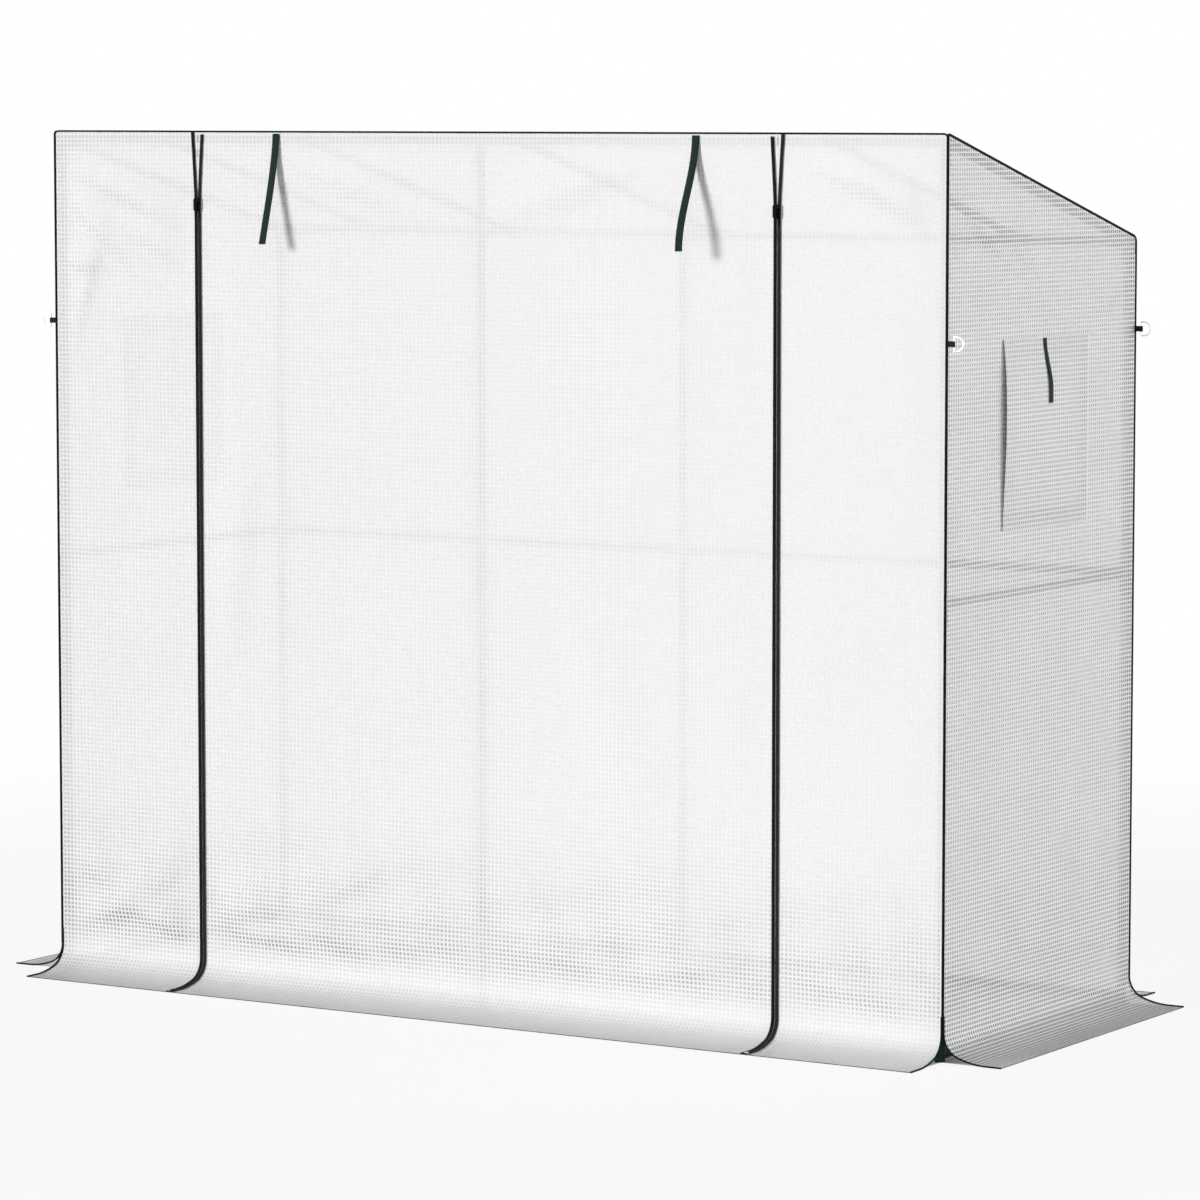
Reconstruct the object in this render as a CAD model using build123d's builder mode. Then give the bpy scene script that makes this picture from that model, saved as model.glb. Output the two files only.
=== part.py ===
from build123d import *

import os
from math import atan2, cos, degrees, radians, sin, tan

# A lean-to tomato greenhouse: a frame of steel tubes and plug-in connectors under a sewn cover.
# Millimetres. The front faces -Y, the lower wall is at the back, and the ground is Z = 0.

# Cover, over its outer faces
cover_width = 2000.0
cover_depth = 770.0
front_height = 1680.0
back_height = 1480.0
sheet = 1.0

# Ground skirts: a bend out of the wall, a long easing toe and a flat hem
skirt_reach = 117.0
skirt_bend_radius = 44.0
skirt_bend_angle = 70.0
skirt_toe_radius = 170.0
hem_lift = 0.3

# Piping in the seams and binding on the skirts' cut edges
piping_diameter = 4.0
piping_proud = 1.0
binding_width = 2.0
binding_inset = 1.4
binding_proud = 0.8
binding_rise = 1.0
seam_clearance = 0.3

# Frame tubes and connectors
tube_diameter = 16.0
tube_wall = 0.7
socket_wall = 1.6
socket_clearance = 0.15
socket_depth = 30.0
hub_length = 13.0
hub_swell = 0.5
cover_clearance = 0.75
mid_rail_height = 836.0
rail_ground_gap = 3.25

# Inner roof bars, each on two tees that slide along the top rails, so their places are uneven
inner_bar_places = [-740.0, -404.0, 82.0, 760.0]
tee_length = 40.0

# Door zips
zip_offset = 650.0
zip_join_height = 1545.0
zip_spread = 11.5
zip_end_margin = 9.0
zip_half_gap = 0.6
tape_width = 7.0
tape_thickness = 2.5
tape_clearance = 0.2
tape_top_margin = 4.0
stop_length = 6.0
stop_corner = 1.5
stop_height = 3.6

# Zip sliders and their pulls
slider_width = 15.4
slider_length = 26.0
slider_plate = 2.0
slider_corner = 4.0
slider_clearance = 0.4
slider_drop = 8.0
blade_thickness = 0.6
blade_length = 14.0
slider_back_width = 7.0
slider_back_length = 20.0
slider_back_plate = 1.4
pin_diameter = 2.0
pin_rise = 2.7
pin_running_clearance = 0.05
pin_height = 4.0
cheek_thickness = 1.2
cheek_height = 3.4
pull_width = 5.4
pull_thickness = 1.6
pull_length = 28.0
pull_side_clearance = 0.2
pull_eye_wall = 1.15
pull_hole_diameter = 2.6
pull_hole_rise = 1.4

# Tie ribbons
tie_width = 13.0
tie_thickness = 1.2
tie_clearance = 0.5
tie_top_margin = 2.0
door_tie_offset = 474.0
door_tie_drop = 211.0
door_tie_stand_off = 60.0
door_tie_bow = 9.0
window_tie_drop = 121.0
window_tie_stand_off = 16.5
window_tie_bow = 4.0

# Side windows
window_middle_height = 1128.0
window_back_shift = 7.0
window_width = 264.0
window_height = 275.0
flap_width = 350.0
flap_height = 350.0
flap_bulge = 12.0
flap_bulge_share = 0.38
flap_middle_share = 0.25
fastener_width = 25.0
fastener_thickness = 0.7
fastener_clearance = 0.2
fastener_edge_margin = 4.0
bottom_fastener_length = 180.0
flap_seam_width = 12.0
net_border = 14.0
net_thickness = 0.6
net_clearance = 0.3
net_columns = 14
net_rows = 14
net_thread = 2.0

# Guy rings and the webbing tabs that hold them
ring_height_above_ground = 1304.0
ring_wire = 3.0
ring_span = 29.0
ring_leg = 6.0
ring_running_clearance = 0.05
tab_reach = 13.0
tab_width = 10.5
tab_wall = 1.2
tab_root_gap = 0.2

half_width = cover_width / 2
half_depth = cover_depth / 2
roof_angle = atan2(front_height - back_height, cover_depth)
columns = {"left": -1, "centre": 0, "right": 1}
sides = {"left": -1, "right": 1}

# Planes whose first axis points out of a wall and whose second axis points up
wall_planes = {
    "front": Plane(origin=(0, 0, 0), x_dir=(0, -1, 0), z_dir=(-1, 0, 0)),
    "back": Plane(origin=(0, 0, 0), x_dir=(0, 1, 0), z_dir=(1, 0, 0)),
    "right": Plane(origin=(0, 0, 0), x_dir=(1, 0, 0), z_dir=(0, -1, 0)),
    "left": Plane(origin=(0, 0, 0), x_dir=(-1, 0, 0), z_dir=(0, 1, 0)),
}
wall_faces = {"front": half_depth, "back": half_depth, "right": half_width, "left": half_width}
wall_halves = {"front": half_width, "back": half_width, "right": half_depth, "left": half_depth}
side_out = {"left": Vector(-1, 0, 0), "right": Vector(1, 0, 0)}

# Seam places
piping_radius = piping_diameter / 2
piping_inset = piping_radius - piping_proud
panel_inset = binding_inset + binding_width + seam_clearance
seam_depth = piping_inset + piping_radius + seam_clearance

# Skirt places
bend = radians(skirt_bend_angle)
skirt_drop = skirt_bend_radius * sin(bend) + skirt_toe_radius * (1 - sin(bend))
skirt_top = hem_lift + sheet + skirt_drop
split_height = skirt_top + binding_rise

# Frame places
tube_radius = tube_diameter / 2
socket_bore = tube_radius + socket_clearance
socket_radius = socket_bore + socket_wall
hub_radius = socket_radius + hub_swell
frame_inset = sheet + cover_clearance + hub_radius
post_x = half_width - frame_inset
post_y = half_depth - frame_inset
bottom_rail_height = hub_radius + rail_ground_gap


def roof_height(y):
    return front_height - (y + half_depth) * tan(roof_angle)


def below_roof(y, depth):
    return roof_height(y) - depth / cos(roof_angle)


front_top = below_roof(-post_y, frame_inset)
back_top = below_roof(post_y, frame_inset)
piping_y = half_depth - piping_inset
front_piping = Vector(0, -piping_y, below_roof(-piping_y, piping_inset))
back_piping = Vector(0, piping_y, below_roof(piping_y, piping_inset))
front_panel_top = front_piping.Z - piping_radius - seam_clearance
back_panel_top = back_piping.Z - piping_radius - seam_clearance
roof_run = Vector(0, cos(roof_angle), -sin(roof_angle))
up = Vector(0, 0, 1)
down = Vector(0, 0, -1)
across = Vector(1, 0, 0)
backward = Vector(0, 1, 0)
forward = Vector(0, -1, 0)

os.makedirs("parts", exist_ok=True)


def save(piece, name):
    piece.part.label = name
    export_step(piece.part, f"parts/{name}.step")


def save_group(solids, name):
    with BuildPart() as group:
        add(solids)
    save(group, name)


# Frame tubes, each seated on the floors of the two sockets at its ends

def tube(first_centre, second_centre):
    run = second_centre - first_centre
    direction = run.normalized()
    with BuildPart() as piece:
        with BuildSketch(Plane(origin=first_centre + direction * hub_length, z_dir=direction)):
            Circle(tube_radius)
            Circle(tube_radius - tube_wall, mode=Mode.SUBTRACT)
        extrude(amount=run.length - 2 * hub_length)
    return piece


def connector(centre, arms, foot=False):
    with BuildPart() as piece:
        with Locations(centre):
            Sphere(hub_radius)
        for arm in arms:
            with BuildSketch(Plane(origin=centre, z_dir=arm)):
                Circle(socket_radius)
            extrude(amount=hub_length + socket_depth)
        if foot:
            with BuildSketch(Plane(origin=(centre.X, centre.Y, 0), z_dir=up)):
                Circle(socket_radius)
            extrude(amount=centre.Z)
        for arm in arms:
            with BuildSketch(Plane(origin=centre + arm * hub_length, z_dir=arm)):
                Circle(socket_bore)
            extrude(amount=socket_depth, mode=Mode.SUBTRACT)
    return piece.part


def node_centre(column, y, height):
    return Vector(columns[column] * post_x, y, height)


rows = {"front": (-post_y, front_top), "back": (post_y, back_top)}
for row, (y, top) in rows.items():
    for column in columns:
        bottom_node = node_centre(column, y, bottom_rail_height)
        mid_node = node_centre(column, y, mid_rail_height)
        top_node = node_centre(column, y, top)
        save(tube(bottom_node, mid_node), f"{row}_{column}_post_lower")
        save(tube(mid_node, top_node), f"{row}_{column}_post_upper")


def rail_pair(y, height):
    middle = node_centre("centre", y, height)
    return [tube(node_centre(side, y, height), middle).part for side in sides]


save_group(rail_pair(-post_y, front_top), "front_top_rails")
save_group(rail_pair(post_y, back_top), "back_top_rails")
save_group(rail_pair(post_y, mid_rail_height), "back_mid_rails")
save_group(rail_pair(post_y, bottom_rail_height), "back_bottom_rails")

for side in sides:
    for level, height in {"mid": mid_rail_height, "bottom": bottom_rail_height}.items():
        rail = tube(node_centre(side, -post_y, height), node_centre(side, post_y, height))
        save(rail, f"{side}_{level}_rail")


def roof_bar(x):
    return tube(Vector(x, -post_y, front_top), Vector(x, post_y, back_top))


for side in sides:
    save(roof_bar(columns[side] * post_x), f"{side}_roof_bar")
save_group([roof_bar(x).part for x in inner_bar_places], "inner_roof_bars")


def rail_arms(column):
    ends = {"left": [across], "centre": [across, across * -1], "right": [across * -1]}
    return ends[column]


def connector_row(y, height, own_arms, side_arms, rails, foot=False):
    solids = []
    for column in columns:
        arms = list(own_arms)
        if column in sides:
            arms += side_arms
        if rails:
            arms += rail_arms(column)
        solids.append(connector(node_centre(column, y, height), arms, foot))
    return solids


top_front = connector_row(-post_y, front_top, [down], [roof_run], rails=True)
save_group(top_front, "top_front_connectors")
top_back = connector_row(post_y, back_top, [down], [roof_run * -1], rails=True)
save_group(top_back, "top_back_connectors")
mid_front = connector_row(-post_y, mid_rail_height, [up, down], [backward], rails=False)
save_group(mid_front, "mid_front_connectors")
mid_back = connector_row(post_y, mid_rail_height, [up, down], [forward], rails=True)
save_group(mid_back, "mid_back_connectors")
bottom_front = connector_row(-post_y, bottom_rail_height, [up], [backward], rails=False, foot=True)
save_group(bottom_front, "bottom_front_connectors")
bottom_back = connector_row(post_y, bottom_rail_height, [up], [forward], rails=True, foot=True)
save_group(bottom_back, "bottom_back_connectors")


def roof_tee(centre, arm):
    # A sleeve round a top rail, with a socket for a roof bar
    with BuildPart() as piece:
        with BuildSketch(Plane(origin=centre, z_dir=across)):
            Circle(socket_radius)
        extrude(amount=tee_length / 2, both=True)
        with BuildSketch(Plane(origin=centre, z_dir=arm)):
            Circle(socket_radius)
        extrude(amount=hub_length + socket_depth)
        with BuildSketch(Plane(origin=centre, z_dir=across)):
            Circle(socket_bore)
        extrude(amount=tee_length / 2, both=True, mode=Mode.SUBTRACT)
        with BuildSketch(Plane(origin=centre + arm * hub_length, z_dir=arm)):
            Circle(socket_bore)
        extrude(amount=socket_depth, mode=Mode.SUBTRACT)
    return piece.part


front_tees = [roof_tee(Vector(x, -post_y, front_top), roof_run) for x in inner_bar_places]
back_tees = [roof_tee(Vector(x, post_y, back_top), roof_run * -1) for x in inner_bar_places]
save_group(front_tees + back_tees, "roof_connectors")


# Cover panels: a wall and its skirt are one sheet

def wall_strip(wall, start, end, top, outer, inner, reach):
    # A solid along a wall, between two offsets from the sheet's outer face, down to the skirt's reach
    face = wall_faces[wall]
    with BuildPart() as strip:
        with BuildSketch(wall_planes[wall].offset(start)):
            with BuildLine():
                ends = []
                for offset_out in (outer, inner):
                    wall_line = Line((face + offset_out, top), (face + offset_out, skirt_top))
                    bend_arc = JernArc(
                        wall_line @ 1, (0, -1), skirt_bend_radius - offset_out, skirt_bend_angle
                    )
                    toe_arc = JernArc(
                        bend_arc @ 1, bend_arc % 1, skirt_toe_radius - offset_out, 90 - skirt_bend_angle
                    )
                    hem_line = Line(toe_arc @ 1, (face + reach, (toe_arc @ 1).Y))
                    ends.append((wall_line @ 0, hem_line @ 1))
                Line(ends[0][0], ends[1][0])
                Line(ends[0][1], ends[1][1])
            make_face()
        extrude(amount=end - start)
    return strip


def cover_strip(wall, start, end, top):
    return wall_strip(wall, start, end, top, 0, -sheet, skirt_reach)


front_edge = half_width - panel_inset
save(cover_strip("front", zip_offset + zip_half_gap, front_edge, front_panel_top), "front_left_panel")
save(cover_strip("front", -front_edge, -zip_offset - zip_half_gap, front_panel_top), "front_right_panel")
door_edge = zip_offset - zip_half_gap
save(cover_strip("front", -door_edge, door_edge, front_panel_top), "door_panel")
save(cover_strip("back", -front_edge, front_edge, back_panel_top), "back_panel")

roof_normal = Vector(0, sin(roof_angle), cos(roof_angle))
roof_plane = Plane(origin=(0, 0, roof_height(0)), x_dir=across, z_dir=roof_normal)
with BuildPart() as roof_panel:
    with BuildSketch(roof_plane):
        Rectangle(cover_width - 2 * panel_inset, cover_depth / cos(roof_angle) - 2 * seam_depth)
    extrude(amount=-sheet)
save(roof_panel, "roof_panel")

side_edge = half_depth - panel_inset
window_bottom = window_middle_height - window_height / 2
for side in sides:
    blank = cover_strip(side, -side_edge, side_edge, front_height)
    inner_face = Plane.YZ.offset(sides[side] * half_width)
    with BuildPart() as side_panel:
        add(blank.part)
        with BuildSketch(inner_face):
            with BuildLine():
                Polyline(
                    (-half_depth, below_roof(-half_depth, seam_depth)),
                    (half_depth, below_roof(half_depth, seam_depth)),
                    (half_depth, front_height + seam_depth),
                    (-half_depth, front_height + seam_depth),
                    close=True,
                )
            make_face()
            with Locations((window_back_shift, window_middle_height)):
                Rectangle(window_width, window_height)
        extrude(amount=2 * sheet, both=True, mode=Mode.SUBTRACT)
    save(side_panel, f"{side}_side_panel")


# Black piping along every seam and binding on the skirts' cut edges

def piping(start, end):
    with BuildPart() as bead:
        with BuildSketch(Plane(origin=start, z_dir=end - start)):
            Circle(piping_radius)
        extrude(amount=(end - start).length)
    return bead.part


corner_gap = piping_diameter + seam_clearance
piping_x = half_width - piping_inset
piping_solids = []
for seam in (front_piping, back_piping):
    end_x = across * (piping_x + piping_radius)
    piping_solids.append(piping(seam - end_x, seam + end_x))
    for side in sides:
        corner = Vector(sides[side] * piping_x, seam.Y, 0)
        top = seam.Z - corner_gap
        piping_solids.append(piping(corner + up * (split_height + seam_clearance), corner + up * top))
for side in sides:
    shift = across * (sides[side] * piping_x)
    start = front_piping + shift + roof_run * corner_gap
    end = back_piping + shift - roof_run * corner_gap
    piping_solids.append(piping(start, end))
for wall in wall_planes:
    outer_edge = wall_halves[wall] - binding_inset
    for start in (-outer_edge, outer_edge - binding_width):
        strip = wall_strip(
            wall, start, start + binding_width, split_height, binding_proud, -sheet, skirt_reach
        )
        piping_solids.append(strip.part)
save_group(piping_solids, "edge_piping")


# Door zips: one tape on each fixed panel, one on each edge of the door, spread apart at the top

front_plane = Plane(origin=(0, -half_depth - tape_clearance, 0), x_dir=across, z_dir=forward)
tape_top = front_panel_top - tape_top_margin
tape_reach = skirt_reach - zip_end_margin


def zip_tape(side, way):
    # side picks the zip, way is the side of its middle line that this tape lies on
    near = sides[side] * zip_offset + way * zip_half_gap
    far = near + way * tape_width
    spread = sides[side] * zip_offset + way * zip_spread
    low, high = sorted((-near, -far))
    straight = wall_strip(
        "front", low, high, zip_join_height, tape_clearance + tape_thickness, tape_clearance, tape_reach
    )
    with BuildPart() as tape:
        add(straight.part)
        with BuildSketch(front_plane):
            with BuildLine():
                Polyline(
                    (near, zip_join_height),
                    (far, zip_join_height),
                    (spread + way * tape_width / 2, tape_top),
                    (spread - way * tape_width / 2, tape_top),
                    close=True,
                )
            make_face()
        extrude(amount=tape_thickness)
    return tape.part


save_group([zip_tape(side, sides[side]) for side in sides], "frame_zip_tapes")
save_group([zip_tape(side, -sides[side]) for side in sides], "door_zip_tapes")

stop_solids = []
for side in sides:
    with BuildPart() as end_stop:
        with BuildSketch(Plane.XY.offset(hem_lift + sheet + tape_clearance)):
            with Locations((
                sides[side] * (zip_offset + zip_half_gap + tape_width / 2),
                -(half_depth + tape_reach + seam_clearance + stop_length / 2),
            )):
                RectangleRounded(tape_width, stop_length, stop_corner)
        extrude(amount=stop_height)
    stop_solids.append(end_stop.part)
save_group(stop_solids, "zip_end_stops")

slider_face = half_depth + tape_clearance + tape_thickness + slider_clearance
slider_front = slider_face + slider_plate
slider_height = zip_join_height - slider_drop
pin_y = -(slider_front + pin_rise)
pin_z = slider_height + pin_height
pin_length = pull_width + 2 * pull_side_clearance + 2 * cheek_thickness
for side in sides:
    middle = sides[side] * zip_offset
    door_way = -sides[side]
    back_face = half_depth - sheet - slider_clearance
    blade_depth = slider_front - back_face + slider_back_plate
    pin_axis = Plane(origin=(middle - pin_length / 2, pin_y, pin_z), z_dir=across)
    with BuildPart() as zip_slider:
        with BuildSketch(Plane(origin=(middle, -slider_face, slider_height), x_dir=across, z_dir=forward)):
            RectangleRounded(slider_width, slider_length, slider_corner)
        extrude(amount=slider_plate)
        with Locations((middle, -slider_front + blade_depth / 2, slider_height)):
            Box(blade_thickness, blade_depth, blade_length)
        back_middle = middle + door_way * (slider_back_width - blade_thickness) / 2
        with Locations((back_middle, -back_face + slider_back_plate / 2, slider_height)):
            Box(slider_back_width, slider_back_plate, slider_back_length)
        cheek_depth = pin_rise + pin_diameter / 2 + cheek_thickness / 2
        cheek_shift = pin_length / 2 - cheek_thickness / 2
        for way in (-1, 1):
            with Locations((middle + way * cheek_shift, -slider_front - cheek_depth / 2, pin_z)):
                Box(cheek_thickness, cheek_depth, cheek_height)
        with BuildSketch(pin_axis):
            Circle(pin_diameter / 2)
        extrude(amount=pin_length)
    save(zip_slider, f"{side}_zip_slider")

    eye_bore = pin_diameter / 2 + pin_running_clearance
    eye_radius = eye_bore + pull_eye_wall
    pull_plane = Plane(origin=(middle, pin_y + pull_thickness / 2, pin_z), x_dir=across, z_dir=forward)
    eye_axis = Plane(origin=(middle - pull_width / 2, pin_y, pin_z), z_dir=across)
    with BuildPart() as zip_pull:
        with BuildSketch(pull_plane):
            with Locations((0, -pull_length / 2)):
                Rectangle(pull_width, pull_length)
            with Locations((0, -pull_length)):
                Circle(pull_width / 2)
            with Locations((0, -pull_length + pull_hole_rise)):
                Circle(pull_hole_diameter / 2, mode=Mode.SUBTRACT)
        extrude(amount=pull_thickness)
        with BuildSketch(eye_axis):
            Circle(eye_radius)
        extrude(amount=pull_width)
        with BuildSketch(eye_axis):
            Circle(eye_bore)
        extrude(amount=pull_width, mode=Mode.SUBTRACT)
    save(zip_pull, f"{side}_zip_pull")


# Tie ribbons, each swept down one arc from its sewn end

def ribbon(anchor, out, drop, stand_off, bow):
    tip = anchor + out * stand_off - up * drop
    chord = tip - anchor
    along = chord.normalized()
    middle = anchor + chord / 2 - out.cross(along).cross(along) * bow
    with BuildPart() as tie:
        with BuildLine():
            path = ThreePointArc(anchor, middle, tip)
        with BuildSketch(Plane(origin=anchor, x_dir=out.cross(up), z_dir=path % 0)):
            Rectangle(tie_width, tie_thickness)
        sweep()
    return tie


tie_gap = tie_clearance + tie_thickness / 2
for side in sides:
    anchor = Vector(
        sides[side] * door_tie_offset, -half_depth - tie_gap, front_panel_top - tie_top_margin
    )
    door_tie = ribbon(anchor, forward, door_tie_drop, door_tie_stand_off, door_tie_bow)
    save(door_tie, f"{side}_door_tie")


# Side windows: a net sewn inside the cut-out, fastener strips and a flap that lifts outside

flap_gap = 2 * fastener_thickness + 3 * fastener_clearance
flap_top = window_middle_height + flap_height / 2
flap_bottom = flap_top - flap_height
flap_inner = half_width + flap_gap
flap_front = window_back_shift - flap_width / 2
flap_back = window_back_shift + flap_width / 2
fastener_back = flap_back - fastener_edge_margin
fastener_bottom = flap_bottom + fastener_edge_margin
upright_length = flap_height - flap_seam_width - fastener_width - 4 * fastener_edge_margin


def flap_section(sign, height, bulge):
    # One level section of the flap: its front edge stands out by the bulge, its back edge lies flat
    with BuildSketch(Plane.XY.offset(height)) as section:
        with BuildLine():
            edges = []
            for depth in (flap_inner, flap_inner + sheet):
                back = (sign * depth, flap_back)
                middle = (sign * (depth + bulge * flap_middle_share), window_back_shift)
                front = (sign * (depth + bulge), flap_front)
                edges.append(ThreePointArc(back, middle, front) if bulge else Line(back, front))
            Line(edges[0] @ 0, edges[1] @ 0)
            Line(edges[0] @ 1, edges[1] @ 1)
        make_face()
    return section.sketch


def fastener_strips(sign, depth):
    # The upright strip on the back edge and the level strip on the bottom edge
    solids = []
    bottom_middle = fastener_back - bottom_fastener_length / 2
    upright_bottom = fastener_bottom + fastener_width + fastener_edge_margin
    upright_y = fastener_back - fastener_width / 2
    upright_middle = upright_bottom + upright_length / 2
    places = [
        (upright_y, upright_middle, fastener_width, upright_length),
        (bottom_middle, fastener_bottom + fastener_width / 2, bottom_fastener_length, fastener_width),
    ]
    for y, z, width, height in places:
        with BuildPart() as strip:
            with Locations((sign * (depth + fastener_thickness / 2), y, z)):
                Box(fastener_thickness, width, height)
        solids.append(strip.part)
    return solids


trim_solids = []
net_solids = []
for side, sign in sides.items():
    bulge_height = flap_top - flap_bulge_share * flap_height
    sections = [
        flap_section(sign, flap_bottom, 0),
        flap_section(sign, bulge_height, flap_bulge),
        flap_section(sign, flap_top, 0),
    ]
    with BuildPart() as window_flap:
        loft(sections)
    save(window_flap, f"{side}_window_flap")

    panel_strip_depth = half_width + fastener_clearance
    flap_strip_depth = panel_strip_depth + fastener_thickness + fastener_clearance
    trim_solids += fastener_strips(sign, panel_strip_depth)
    save_group(fastener_strips(sign, flap_strip_depth), f"{side}_window_hook_strips")

    seam_thickness = flap_gap - 2 * fastener_clearance
    seam_x = sign * (panel_strip_depth + seam_thickness / 2)
    with BuildPart() as flap_seam:
        with Locations((seam_x, window_back_shift, flap_top - flap_seam_width / 2)):
            Box(seam_thickness, flap_width, flap_seam_width)
    trim_solids.append(flap_seam.part)

    net_face = half_width - sheet - net_clearance - net_thickness
    column_pitch = window_width / net_columns
    row_pitch = window_height / net_rows
    with BuildPart() as window_net:
        with BuildSketch(Plane.YZ.offset(sign * net_face)):
            with Locations((window_back_shift, window_middle_height)):
                Rectangle(window_width + 2 * net_border, window_height + 2 * net_border)
                with GridLocations(column_pitch, row_pitch, net_columns, net_rows):
                    Rectangle(column_pitch - net_thread, row_pitch - net_thread, mode=Mode.SUBTRACT)
        extrude(amount=sign * net_thickness)
    net_solids.append(window_net.part)

    tie_x = sign * (flap_inner + sheet + tie_gap)
    anchor = Vector(tie_x, window_back_shift, flap_top - tie_top_margin)
    window_tie = ribbon(anchor, side_out[side], window_tie_drop, window_tie_stand_off, window_tie_bow)
    save(window_tie, f"{side}_window_tie")

save_group(trim_solids, "window_trim")
save_group(net_solids, "window_nets")


# Guy rings: a D of round rod on a webbing tab in each corner seam

ring_radius = ring_wire / 2
ring_half = ring_span / 2 - ring_radius
tab_bore = ring_radius + ring_running_clearance
tab_radius = tab_bore + tab_wall
tab_root = half_width + piping_proud + tab_root_gap
ring_axis_x = half_width + tab_reach
tab_solids = []
for row, row_sign in {"front": -1, "back": 1}.items():
    for side, sign in sides.items():
        seam_y = row_sign * piping_y
        out = side_out[side]
        bar_middle = Vector(sign * ring_axis_x, seam_y, ring_height_above_ground)
        low = bar_middle - up * ring_half
        high = bar_middle + up * ring_half
        with BuildPart() as guy_ring:
            with BuildLine():
                lower_leg = Line(low, low + out * ring_leg)
                bow = ThreePointArc(
                    lower_leg @ 1, bar_middle + out * (ring_leg + ring_half), high + out * ring_leg
                )
                Line(bow @ 1, high)
            with BuildSketch(Plane(origin=low, z_dir=out)):
                Circle(ring_radius)
            sweep()
            with BuildSketch(Plane(origin=low, z_dir=up)):
                Circle(ring_radius)
            extrude(amount=2 * ring_half)
            with Locations(low, high):
                Sphere(ring_radius)
        save(guy_ring, f"{row}_{side}_guy_ring")

        with BuildPart() as guy_tab:
            with BuildSketch(Plane.XY.offset(ring_height_above_ground - tab_width / 2)):
                with Locations((bar_middle.X, bar_middle.Y)):
                    Circle(tab_radius)
                with Locations(((bar_middle.X + sign * tab_root) / 2, bar_middle.Y)):
                    Rectangle(ring_axis_x - tab_root, 2 * tab_wall)
                with Locations((bar_middle.X, bar_middle.Y)):
                    Circle(tab_bore, mode=Mode.SUBTRACT)
            extrude(amount=tab_width)
        tab_solids.append(guy_tab.part)
save_group(tab_solids, "guy_tabs")

print(f"roof falls {degrees(roof_angle):.1f} degrees, skirts bend out {skirt_top:.1f} mm above the ground")
print(f"door hinge line {front_panel_top:.2f} mm up, {half_depth:.1f} mm in front of the middle")
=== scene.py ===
import math

import bmesh
import bpy
import numpy as np
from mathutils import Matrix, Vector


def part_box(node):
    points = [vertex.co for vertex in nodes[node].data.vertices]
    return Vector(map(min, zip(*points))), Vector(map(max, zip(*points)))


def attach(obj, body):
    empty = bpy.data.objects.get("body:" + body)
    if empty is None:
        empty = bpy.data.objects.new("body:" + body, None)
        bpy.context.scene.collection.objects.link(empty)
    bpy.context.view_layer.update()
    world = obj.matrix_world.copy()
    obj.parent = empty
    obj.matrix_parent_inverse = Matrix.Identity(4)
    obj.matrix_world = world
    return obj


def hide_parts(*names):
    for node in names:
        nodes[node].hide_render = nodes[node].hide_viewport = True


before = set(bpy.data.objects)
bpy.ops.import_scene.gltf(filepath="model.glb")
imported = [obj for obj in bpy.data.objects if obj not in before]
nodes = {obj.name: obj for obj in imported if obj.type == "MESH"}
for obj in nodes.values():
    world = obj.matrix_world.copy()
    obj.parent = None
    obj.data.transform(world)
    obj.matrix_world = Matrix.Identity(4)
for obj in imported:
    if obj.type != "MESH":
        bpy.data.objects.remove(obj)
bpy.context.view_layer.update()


# Finishes: one small wrapper for sockets and one builder per material

class Value:
    # A socket of a node tree. Sums on it add Math nodes.
    def __init__(self, finish, socket):
        self.finish = finish
        self.socket = socket

    def math(self, operation, *others, first=None):
        values = [self, *others] if first is None else [first, self, *others]
        sockets = dict(enumerate(values))
        return self.finish.node("ShaderNodeMath", {"operation": operation}, sockets)

    def __add__(self, other):
        return self.math("ADD", other)

    def __sub__(self, other):
        return self.math("SUBTRACT", other)

    def __rsub__(self, other):
        return self.math("SUBTRACT", first=other)

    def __mul__(self, other):
        return self.math("MULTIPLY", other)

    __radd__ = __add__
    __rmul__ = __mul__

    def __truediv__(self, other):
        return self.math("DIVIDE", other)

    def toNearest(self):
        return self.math("PINGPONG", 0.5)  # distance to the nearest whole number

    def larger(self, other):
        return self.math("MAXIMUM", other)

    def smaller(self, other):
        return self.math("MINIMUM", other)

    def wave(self):
        return self.math("SINE")

    def step(self, low, high, toLow=0.0, toHigh=1.0):
        sockets = {"Value": self, "From Min": low, "From Max": high, "To Min": toLow, "To Max": toHigh}
        return self.finish.node("ShaderNodeMapRange", {"interpolation_type": "SMOOTHSTEP"}, sockets)


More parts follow.
